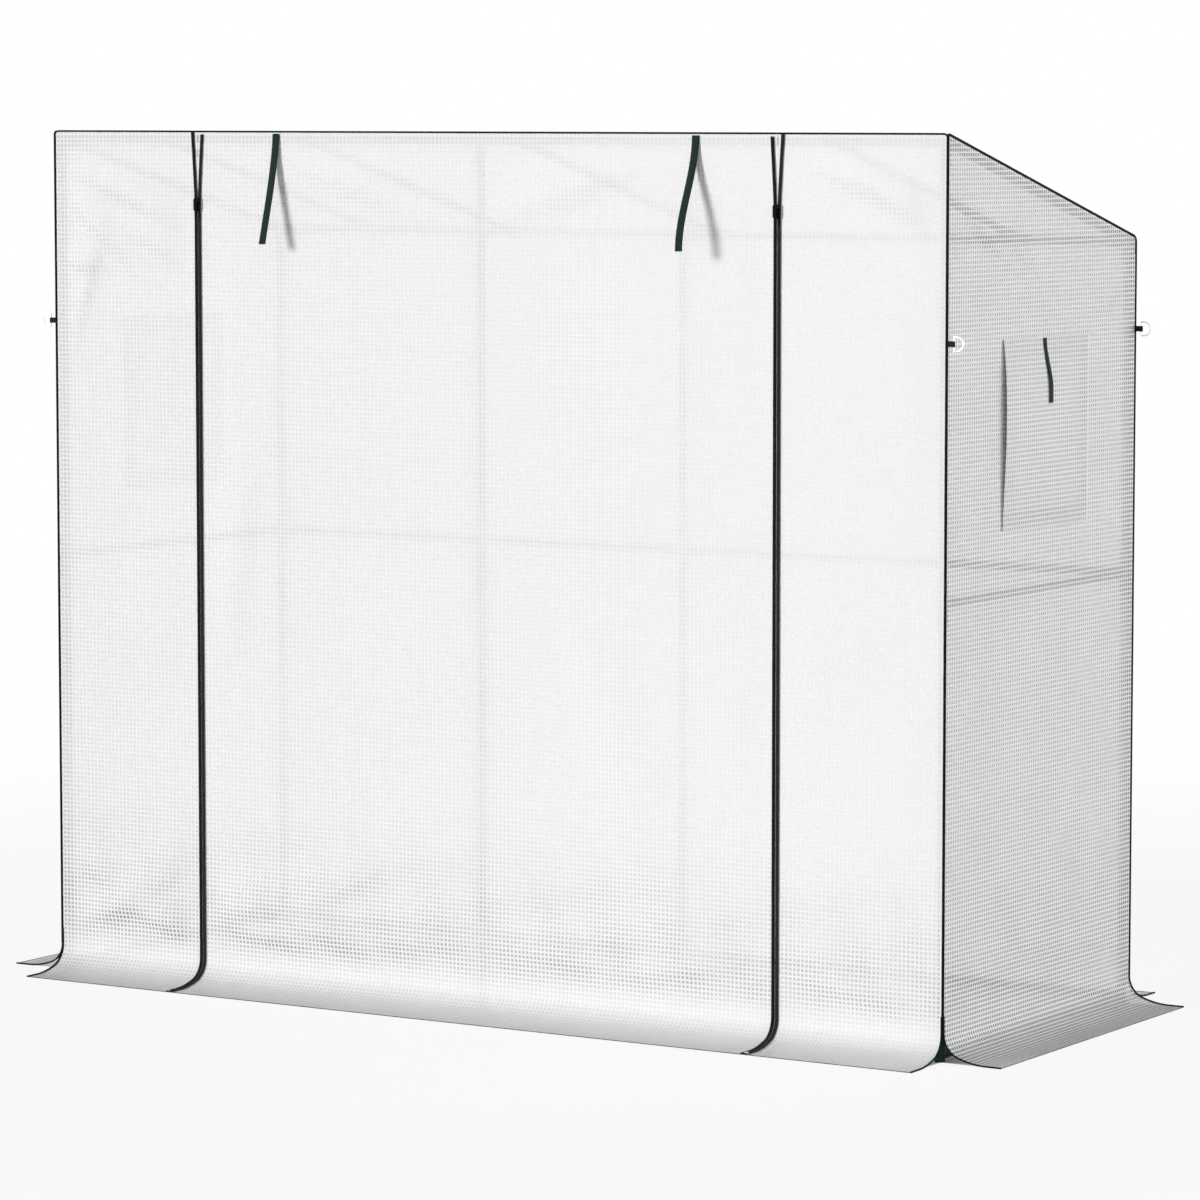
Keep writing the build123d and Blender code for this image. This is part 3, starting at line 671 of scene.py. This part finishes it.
def sideSheet(name, wall):
    # The wall's top follows the roof, and the cut-out is left open
    along = cutLines(-edgeY, edgeY, holeY, window["step"])
    backTop = backSeam - sideFilm["gableFoot"]
    straight = cutLines(backTop, skirtTop, holeZ[::-1], sideFilm["wallStep"])
    skirt = np.linspace(skirtTop, hemEnd, round((skirtTop - hemEnd) / sideFilm["skirtStep"]))[1:]
    gable = np.linspace(1, 0, sideFilm["gableRows"])[:-1]
    outline = gablePath(0.0, skirtTop)[1:-1]
    top = np.interp(along, outline[:, 1], outline[:, 2]) - cover["seamGap"]
    upper = backTop + (top[None, :] - backTop) * gable[:, None]
    lower = np.concatenate([straight, skirt])[:, None]
    level = np.vstack([upper, np.broadcast_to(lower, (len(lower), len(along)))])
    spread = np.broadcast_to(along[None, :], level.shape)
    roofGap = (top[None, :] - level) * math.cos(roofAngle)
    distance = np.minimum(seamDistance(spread, level, -edgeY, edgeY, frontSeam), roofGap)
    fromFlap = np.maximum(np.maximum(flapLow.y - spread, spread - flapHigh.y),
                          np.maximum(flapLow.z - level, level - flapHigh.z))
    distance = np.minimum(distance, fromFlap)
    lift = slackOf(sideFilm, spread, level, distance)
    points = wallPoints(wall, spread, level, filmOffset, lift)
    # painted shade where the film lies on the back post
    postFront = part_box(f"back_{wall}_post_lower")[0].y
    fade = paintedShadeRun["skirtFade"] / 2
    onPost = smooth(spread, postFront - sideFilm["postEdge"], postFront)
    onPost = onPost * smooth(level, skirtTop - fade, skirtTop + fade)
    shade = np.clip(paintedShadeOf(sideFilm, spread, level, lift) + sideFilm["post"] * onPost, 0, 1)
    cloth = stacked(spread, level)
    finish = clearFilm if wall == "right" else daylightFilm
    piece = sheetPiece(name, points, cloth, walls[wall]["out"], finish, outsideHole(spread, level), shade)
    area = 2 * edgeY * ((frontSeam + backSeam) / 2 - hemEnd) - spanY * spanZ
    return piece, area


for side in sides:
    piece, area = sideSheet(f"{side}SideFilm", side)
    onBody(piece, "greenhouse", "cover_sheet", f"{side}_side_panel")
    frontSeam - hemEnd
print("side films hung, window cut-outs", [round(v, 3) for v in (*holeY, *holeZ)])

# the roof film's step, sag and bar gap, and an even painted shade on its cells
roofFilm = {"step": 0.010, "sag": 0.009, "paintedShade": 0.33, "barGap": 0.05}
roofBars = ["left_roof_bar", "inner_roof_bars", "right_roof_bar"]


def middlesAcross(name):
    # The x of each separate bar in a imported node, from the gaps between its points
    node = nodes[name]
    points = np.empty(3 * len(node.data.vertices))
    node.data.vertices.foreach_get("co", points)
    *turn, shift = node.matrix_world[0]
    x = np.sort(points.reshape(-1, 3) @ np.array(turn) + shift)
    bars = np.split(x, np.flatnonzero(np.diff(x) > roofFilm["barGap"]) + 1)
    return [(bar[0] + bar[-1]) / 2 for bar in bars]


barX = np.concatenate([middlesAcross(name) for name in roofBars])


def roofSheet():
    # Runs down the roof's fall and round the back edge. Between two bars it sags by a squared sine over the
    # bay, and a wide bay sags more.
    line = gablePath(0.0, skirtTop)
    line = line[np.abs(line[:, 1]) < pipingY - crownIn + 1e-6]
    backPart = line[line[:, 1] > 0]
    slopePart = np.linspace((0, -pipingY, frontSeam), backPart[0], round(2 * pipingY / roofFilm["step"]))
    line = np.vstack([slopePart, backPart[1:]])
    slope = lengths(line)
    across = np.linspace(-edgeX, edgeX, round(2 * edgeX / roofFilm["step"]))[None, :]
    across, down = np.broadcast_arrays(across, slope[:, None])
    bay = np.sin(np.pi * np.interp(across, barX, np.arange(len(barX)))) ** 2
    bayWidth = np.diff(barX)[np.clip(np.searchsorted(barX, across) - 1, 0, len(barX) - 2)]
    edge = np.sin(np.pi * down / slope[-1]) ** 2
    drop = -roofFilm["sag"] * bayWidth * bay * edge
    normal = np.array((0, math.sin(roofAngle), math.cos(roofAngle)))
    lifted = line + normal * (cover["pipingInset"] + filmOffset)
    points = lifted[:, None] + across[..., None] * np.array((1, 0, 0)) + drop[..., None] * normal
    cloth = stacked(across, down)
    piece = sheetPiece("roofFilm", points, cloth, normal, daylightFilm, paintedShade=roofFilm["paintedShade"])
    return piece, slope[-1]


piece, slope = roofSheet()
onBody(piece, "greenhouse", "cover_sheet", "roof_panel")
print("roof film laid at", round(math.degrees(roofAngle), 1), "degrees over bars at", np.round(barX, 3))


# Piping, bindings and hems

trim = {
    "piping": 0.0054, "topPiping": 0.0036, "cornerRadius": 0.009,
    "bindingWidth": 0.0042, "bindingHeight": 0.0034, "bindingStart": 0.085,
    "bindingLift": 0.0010,  # keeps the binding off the ground
    "hemWidth": 0.0016, "hemHeight": 0.0014, "hemLift": 0.0002,
    "turnDown": 0.030,  # how far the top piping runs down at its ends
    "split": 0.001,  # from the uprights' lower ends to the skirt's bindings
}
splitLevel = skirtTop + trim["split"]
loops = []
for x in (-pipingX, pipingX):
    loops.append((gablePath(x, splitLevel), (1, 0, 0), ovalProfile(trim["piping"], trim["piping"])))
topBead = ovalProfile(trim["topPiping"], trim["topPiping"])
for y, seam in ((-pipingY, frontSeam), (pipingY - crownIn, crownTop)):
    drop = seam - trim["turnDown"]
    stops = [(-pipingX, y, drop), (-pipingX, y, seam), (pipingX, y, seam), (pipingX, y, drop)]
    radii = (trim["cornerRadius"], trim["cornerRadius"])
    loops.append((cornered(stops, radii, 10), (0, 1, 0), topBead))
binding = ovalProfile(trim["bindingWidth"], trim["bindingHeight"])
straightLevel = np.linspace(trim["bindingStart"], skirtTop, 4)
bindingLevel = np.concatenate([straightLevel, np.linspace(skirtTop, hemEnd, 40)[1:]])
for wall, place in walls.items():
    edge = edgeY if wall in sides else edgeX
    for at in (-edge, edge):
        line = wallPoints(wall, at, bindingLevel, filmOffset, trim["bindingLift"])
        loops.append((line, place["along"], binding))
pipingPiece = sweepSet("seamPiping", loops, finishes["pipingBlack"])
onBody(pipingPiece, "greenhouse", "black_piping", "edge_piping")

hem = ovalProfile(trim["hemHeight"], trim["hemWidth"], 8)
hemRise = hemLift + trim["hemHeight"] / 2 + trim["hemLift"]


def hemLine(wall, low, high):
    place = walls[wall]
    along = np.linspace(low, high, 40)
    base = np.array(place["out"]) * (place["face"] + skirtReach) + np.array((0, 0, hemRise))
    return base + along[:, None] * np.array(place["along"]), (0, 0, 1), hem


hemRuns = {
    "fixedHems": ("greenhouse", [
        hemLine("front", -edgeX, -panelEdge), hemLine("front", panelEdge, edgeX),
        hemLine("back", -edgeX, edgeX), hemLine("left", -edgeY, edgeY), hemLine("right", -edgeY, edgeY),
    ]),
    "doorHem": ("door", [hemLine("front", -doorEdge, doorEdge)]),
}
for name, (body, runs) in hemRuns.items():
    onBody(sweepSet(name, runs, finishes["hemGrey"]), body, "black_piping")
print("piping, bindings and hems sewn on")


# Door zips

zipShape = {
    "width": 0.007, "height": 0.0025, "clear": 0.0002,
    "join": 1.545, "spread": 0.0115, "bend": 1.15, "endMargin": 0.0035,
    "rise": 0.0012,  # the fixed strips end this far above the door film's top
    "liftGap": 0.0045,  # keeps the door's strips clear of the piping when it lifts
}
zipTop = doorHigh.z + zipShape["rise"]
zipEnd = hemLevel(zipShape["clear"], skirtReach - zipShape["endMargin"])


def zipStrip(side, way, top):
    # A rounded strip that follows wall and skirt, and leans away from its partner above the join
    join = zipShape["join"]
    upper, wall = np.linspace(top, join, 24), np.linspace(join, skirtTop, 60)
    level = np.concatenate([upper, wall[1:], np.linspace(skirtTop, zipEnd, 40)[1:]])
    near = zipEdge + zipShape["width"] / 2
    share = np.clip((level - join) / (zipTop - join), 0, 1)
    along = side * zipX + way * (near + (zipShape["spread"] - near) * share ** zipShape["bend"])
    path = wallPoints("front", along, level, zipShape["clear"] + zipShape["height"] / 2)
    return path, (1, 0, 0), ovalProfile(zipShape["width"], zipShape["height"], 14)


for name, side in sides.items():
    black, litGrey = finishes["zipBlack"], finishes["zipLitGrey"]
    # painted light: the right-hand strip of each zip is grey and its partner black
    outerFinish, innerFinish = (black, litGrey) if side < 0 else (litGrey, black)
    outer = sweepSet(f"{name}OuterZipStrip", [zipStrip(side, side, zipTop)], outerFinish)
    onBody(outer, "greenhouse", "zip_tape", "frame_zip_tapes")
    doorStrip = zipStrip(side, -side, zipTop - zipShape["liftGap"])
    inner = sweepSet(f"{name}DoorZipStrip", [doorStrip], innerFinish)
    onBody(inner, "door", "zip_tape", "door_zip_tapes")
print("zips run at x = +-", round(zipX, 3))


# Tie ribbons

tie = {"thickness": 0.0010, "columns": 7, "ease": 1.35, "inset": 0.0006}  # inset: to its middle line
doorTie = {**tie, "width": 0.015, "rows": 44, "curl": 0.0005, "swayed": 1.0}
windowTie = {**tie, "width": 0.012, "rows": 34, "curl": 0.0004, "swayed": 0.8}
# Each tie's own place along its seam, how far its tip stands off as a share, and how much of its fall is an S
doorTieHang = {"left": (0.011, 0.80, 0.10), "right": (0.003, 1.0, 1.0)}
windowTieHang = (-0.012, 0.19, 1.0)
windowTieLean = 0.022  # how far a window tie's tip hangs towards the back


def tieRibbon(name, look, anchor, out, drop, standOff, swing, lean=0.0):
    # Leaves its seam downwards and eases away from the wall on a power curve, an S or a mix of both
    out = np.array(out, float)
    share = np.linspace(0, 1, look["rows"])[:, None]
    away = (1 - swing) * share ** look["ease"] + swing * smooth(share, 0, look["swayed"])
    line = np.array(anchor) + (out * standOff + np.array((0, lean, 0))) * away
    line = line + np.array((0, 0, -1.0)) * drop * share
    across = np.linspace(-0.5, 0.5, look["columns"])
    wide = np.cross(out, (0, 0, 1.0))
    face = np.cross(tangents(line), wide)
    curl = look["curl"] * (4 * across ** 2 - 0.5) * np.sin(share * 5.0)
    beside = across[None, :] * look["width"]
    points = line[:, None] + wide * beside[..., None] + face[:, None] * curl[..., None]
    length = lengths(line)
    piece = sheetPiece(name, points, stacked(beside, length[:, None]), out, finishes["tapeGreen"])
    thicken(piece, look["thickness"])
    return piece, length[-1]


for side, sign in sides.items():
    low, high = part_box(f"{side}_door_tie")
    shift, reach, swing = doorTieHang[side]
    anchor = ((low.x + high.x) / 2 + shift, high.y - tie["inset"], high.z)
    stand = (anchor[1] - low.y) * reach
    drop = high.z - low.z
    piece, length = tieRibbon(f"{side}DoorTie", doorTie, anchor, (0, -1, 0), drop, stand, swing)
    onBody(piece, f"{side}_door_tie", "green_webbing", f"{side}_door_tie")
    low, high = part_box(f"{side}_window_tie")
    inner, outer = (low.x, high.x) if sign > 0 else (high.x, low.x)
    shift, reach, swing = windowTieHang
    anchor = (inner + sign * tie["inset"], (low.y + high.y) / 2 + shift, high.z)
    stand = abs(outer - anchor[0]) * reach
    drop, out = high.z - low.z, (sign, 0, 0)
    piece, length = tieRibbon(f"{side}WindowTie", windowTie, anchor, out, drop, stand, swing, windowTieLean)
    onBody(piece, f"{side}_window_tie", "green_webbing", f"{side}_window_tie")
print("ties hung")


# Side windows

flap = {
    "bulge": 0.0075, "peak": 0.60, "step": 0.0035, "gap": 0.002,
    "paintedShade": 0.60, "stripShade": 0.11,  # painted shade of the cells, deeper over the fastener strips behind
    "hem": 0.005, "hemShade": 0.12,  # and lighter along the cut back edge, where less shade is painted
}
fastener = {
    "inset": 0.004, "width": 0.025, "bottomLength": 0.180, "thickness": 0.0007, "seamWidth": 0.012,
    "clear": 0.0002,  # gaps between film, loop strip and hook strip
}
net = {"pitch": 0.004, "thread": 0.0008, "sway": 0.0004}
facing = {"reach": 0.037, "thickness": 0.0006, "step": 0.020}


def flapSheet(side, sign):
    # Flat at its back edge, standing out by the square of the way to its front edge, most at its peak height
    along = np.linspace(flapLow.y, flapHigh.y, round(flapWide / flap["step"]))[None, :]
    level = np.linspace(flapHigh.z, flapLow.z, round(flapTall / flap["step"]))[:, None]
    along, level = np.broadcast_arrays(along, level)
    climb = (level - flapLow.z) / flapTall
    power = flap["peak"] / (1 - flap["peak"])
    swell = climb ** power * (1 - climb) / (flap["peak"] ** power * (1 - flap["peak"]))
    forward = (flapHigh.y - along) / flapWide
    out = halfWidth + flap["gap"] + cover["sheet"] / 2 + flap["bulge"] * swell * forward ** 2
    points, cloth = stacked(sign * out, along, level), stacked(along, level)
    # painted shade: an even level, deeper over the fastener strips, lighter along the back edge
    fromEdge = np.minimum(flapHigh.y - along, level - flapLow.z)
    overStrip = (fromEdge > fastener["inset"]) & (fromEdge < fastener["inset"] + fastener["width"])
    shade = flap["paintedShade"] + flap["stripShade"] * overStrip
    shade = np.where(flapHigh.y - along < flap["hem"], flap["hemShade"], shade)
    finish = flapFilm if side == "right" else daylightFlap
    return sheetPiece(f"{side}WindowFlap", points, cloth, (sign, 0, 0), finish, paintedShade=shade)


def tapeRuns(sign, depth):
    # The upright fastener along the back edge and the level one along the bottom edge
    inset, width, thickness = fastener["inset"], fastener["width"], fastener["thickness"]
    x = sign * (depth + thickness / 2)
    back, bottom = flapHigh.y - inset, flapLow.z + inset
    uprightY, levelZ = back - width / 2, bottom + width / 2
    uprightLow = bottom + width + inset
    uprightHigh = flapHigh.z - fastener["seamWidth"] - inset
    profile = slabProfile(thickness, width)
    upright = np.linspace((x, uprightY, uprightLow), (x, uprightY, uprightHigh), 24)
    level = np.linspace((x, back - fastener["bottomLength"], levelZ), (x, back, levelZ), 16)
    return [(upright, (1, 0, 0), profile), (level, (1, 0, 0), profile)]


def netThreads(x):
    # Two sets of threads on one pitch, each waving over and under the other
    sets = []
    diamond = ovalProfile(net["thread"], net["thread"], 4)
    spans = (holeY, holeZ)
    for axis in (0, 1):
        count = round((spans[axis][1] - spans[axis][0]) / net["pitch"])
        places = np.linspace(*spans[axis], count + 1)[1:-1]
        other = spans[1 - axis]
        samples = 1 + 2 * round((other[1] - other[0]) / net["pitch"])
        run = np.linspace(*other, samples)
        for number, at in enumerate(places):
            phase = math.pi * (number + axis)
            depth = x + net["sway"] * np.cos((run - other[0]) / net["pitch"] * math.pi + phase)
            flat = np.full_like(run, at)
            pair = (flat, run) if axis == 0 else (run, flat)
            sets.append((np.column_stack([depth, *pair]), (1, 0, 0), diamond))
    return sets


def netFacing(name, x, sign):
    # A flat frame of tape that holds the net behind the film, out to just inside the flap's outline
    reach, step = facing["reach"], facing["step"]
    along = cutLines(holeY[0] - reach, holeY[1] + reach, holeY, step)
    level = cutLines(holeZ[0] - reach, holeZ[1] + reach, holeZ, step)
    along, level = np.meshgrid(along, level)
    points, cloth = stacked(x, along, level), stacked(along, level)
    keep = outsideHole(along, level)
    piece = sheetPiece(name, points, cloth, (sign, 0, 0), finishes["facingWhite"], keep)
    thicken(piece, facing["thickness"])
    return piece, (along[0, -1] - along[0, 0], level[-1, 0] - level[0, 0])


for side, sign in sides.items():
    piece = flapSheet(side, sign)
    onBody(piece, f"{side}_window", "cover_sheet", f"{side}_window_flap")
    panelStrip = halfWidth + fastener["clear"]
    flapStrip = panelStrip + fastener["thickness"] + fastener["clear"]
    piece = sweepSet(f"{side}HookTapes", tapeRuns(sign, flapStrip), finishes["loopWhite"])
    onBody(piece, f"{side}_window", "fastener_tape", f"{side}_window_hook_strips")
    seamDepth = flap["gap"] - 2 * fastener["clear"]
    seamX, seamZ = sign * (panelStrip + seamDepth / 2), flapHigh.z - fastener["seamWidth"] / 2
    seamPath = np.linspace((seamX, flapLow.y, seamZ), (seamX, flapHigh.y, seamZ), 30)
    seam = (seamPath, (1, 0, 0), slabProfile(seamDepth, fastener["seamWidth"]))
    piece = sweepSet(f"{side}LoopTapes", [*tapeRuns(sign, panelStrip), seam], finishes["loopWhite"])
    onBody(piece, "greenhouse", "fastener_tape", "window_trim")
    netX = netHigh.x - facing["thickness"] / 2
    piece = sweepSet(f"{side}WindowNet", netThreads(sign * netX), finishes["netWhite"])
    onBody(piece, "greenhouse", "window_net", "window_nets")
    threadArea = 2 * spanY * spanZ / net["pitch"] * net["thread"] * math.sqrt(2)
    piece, flat = netFacing(f"{side}NetFacing", sign * netX, sign)
    onBody(piece, "greenhouse", "window_net")
    flat[0] * flat[1] - spanY * spanZ
print("windows fitted")


# Guy tabs

tab = {
    "width": 0.0105, "thickness": 0.0011, "bar": 0.00155, "samples": 22,
    "wire": 0.0015,  # from the ring's edge to the middle of its bar
    "root": 0.001, "rootGap": 0.0006,  # how deep it sits in the seam, and half its gap there
    "wrap": 0.78 * math.pi,  # half the turn round the bar
}


def guyTab(row, side, sign):
    # A webbing strip that runs out of the seam, round the ring's bar and back
    ringLow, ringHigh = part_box(f"{row}_{side}_guy_ring")
    barAt = (ringLow.x if sign > 0 else -ringHigh.x) + tab["wire"]
    y, z = (ringLow.y + ringHigh.y) / 2, (ringLow.z + ringHigh.z) / 2
    root, wrap = halfWidth - tab["root"], tab["bar"] + tab["thickness"] / 2
    turn = np.linspace(-tab["wrap"], tab["wrap"], tab["samples"])
    loop = np.column_stack([barAt + wrap * np.cos(turn), wrap * np.sin(turn)])
    lead = np.linspace((root, -tab["rootGap"]), loop[0], 8)[:-1]
    line = np.vstack([lead, loop, lead[::-1] * (1, -1)])
    across = np.linspace(-tab["width"] / 2, tab["width"] / 2, 6)
    length = lengths(line)
    points = stacked(sign * line[:, None, 0], y + line[:, None, 1], z + across[None, :])
    cloth = stacked(across[None, :], length[:, None])
    name = f"{row}{side.title()}GuyTab"
    piece = sheetPiece(name, points, cloth, (sign, 0, 0), finishes["tabGreen"])
    thicken(piece, tab["thickness"])
    onBody(piece, "greenhouse", "green_webbing", "guy_tabs")


for row in ("front", "back"):
    for side, sign in sides.items():
        guyTab(row, side, sign)
print("guy tabs sewn in")


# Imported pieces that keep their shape

carried = {
    "_post_": "tubeGreen", "_rail": "tubeGreen", "_roof_bar": "tubeGreen", "_connectors": "socketGreen",
    "_guy_ring": "ringWhite", "_zip_slider": "sliderBlack", "_zip_pull": "sliderBlack",
    "zip_end_stops": "stopPale",
}
for name, node in nodes.items():
    for part, finish in carried.items():
        if part in name:
            node.data.materials.clear()
            node.data.materials.append(finishes[finish])
print("frame, rings and zip hardware finished")


# Stage, light and camera

studio = {
    "skyLow": 0.42, "skyHigh": 0.06,  # the sky's light at the horizon and overhead
    "floorTone": 0.80, "floorReach": 60.0,
    "floorWhite": 0.90,  # the floor's white share beside the object
    "shadowFrom": 1.6, "shadowTo": 4.5,  # it turns plain white away from the object
    "floorUnder": 0.0, "edge": 0.012,  # and stays in shade under the cover
}
lamps = {
    # azimuth turns from straight in front towards the right, both angles in degrees
    "keyLamp": {"azimuth": -36, "elevation": 11, "spread": 15, "power": 2.54},
    "sideLamp": {"azimuth": 122, "elevation": 7, "spread": 50, "power": 2.55},
}
shot = {"at": (5.41710, -8.73722, 1.73138), "tilt": 84.623, "turn": 31.642, "lens": 158.0, "sensor": 36.0}


def seenDirectly(f):
    # 1 for rays from the camera, mirrors and clear pieces, 0 for light that spreads
    path = f.tree.nodes.new("ShaderNodeLightPath")
    kinds = ("Is Camera Ray", "Is Glossy Ray", "Is Transmission Ray")
    rays = [Value(f, path.outputs[kind]) for kind in kinds]
    return rays[0].larger(rays[1]).larger(rays[2])


def makeWorld():
    # White where it is seen, and a soft light that is stronger towards the horizon
    world = bpy.data.worlds.new("studio")
    bpy.context.scene.world = world
    f = Finish(world)
    seen = seenDirectly(f)
    height = f.parts(f.node("ShaderNodeTexCoord", None, None, "Generated"))[2]
    light = height.step(0.0, 1.0, studio["skyLow"], studio["skyHigh"])
    strength = light + (1 - light) * seen
    white = f.node("ShaderNodeBackground", None, {"Color": colour(1, 1, 1), "Strength": strength})
    f.surface(white, "ShaderNodeOutputWorld")


def beyond(run, limit):
    return run.step(limit - studio["edge"], limit - studio["edge"] / 3)


def makeFloor():
    f = newFinish("paleFloor")
    tone = studio["floorTone"]
    matt = f.node("ShaderNodeBsdfDiffuse", None, {"Color": colour(tone, tone, tone)})
    white = f.node("ShaderNodeEmission", None, {"Color": colour(1, 1, 1), "Strength": 1.0})
    away = f.node("ShaderNodeVectorMath", {"operation": "LENGTH"}, {0: f.objectPlace()}, "Value")
    share = away.step(studio["shadowFrom"], studio["shadowTo"], studio["floorWhite"], 1.0)
    x, y, _ = f.parts(f.objectPlace())
    wide, deep = x.math("ABSOLUTE"), y.math("ABSOLUTE")
    outside = beyond(wide, halfWidth).larger(beyond(deep, halfDepth + skirtReach))
    outside = outside.smaller(beyond(wide, halfWidth + skirtReach).larger(beyond(deep, halfDepth)))
    share = studio["floorUnder"] + (share - studio["floorUnder"]) * outside
    finish = f.surface(f.mixShader(seenDirectly(f) * share, matt, white))
    grid = np.linspace(-studio["floorReach"], studio["floorReach"], 2)
    points = stacked(*np.meshgrid(grid, grid), 0.0)
    floor = sheetPiece("studioFloor", points, points[..., :2], (0, 0, 1), finish)


def addLamp(name, azimuth, elevation, spread, power):
    lamp = bpy.data.lights.new(name, "SUN")
    lamp.angle = math.radians(spread)
    lamp.energy = power
    holder = linked(name, lamp)
    holder.location = (0, 0, 6)
    holder.rotation_euler = (math.radians(90 - elevation), 0, math.radians(azimuth))


def addCamera():
    lens = bpy.data.cameras.new("photoView")
    lens.lens = shot["lens"]
    lens.sensor_width = shot["sensor"]
    lens.clip_end = 200
    holder = linked("photoView", lens)
    holder.location = shot["at"]
    holder.rotation_euler = (math.radians(shot["tilt"]), 0, math.radians(shot["turn"]))
    bpy.context.scene.camera = holder


makeWorld()
makeFloor()
for name, lamp in lamps.items():
    addLamp(name, **lamp)
addCamera()
bpy.context.scene.view_settings.view_transform = "Standard"
print("studio lit")
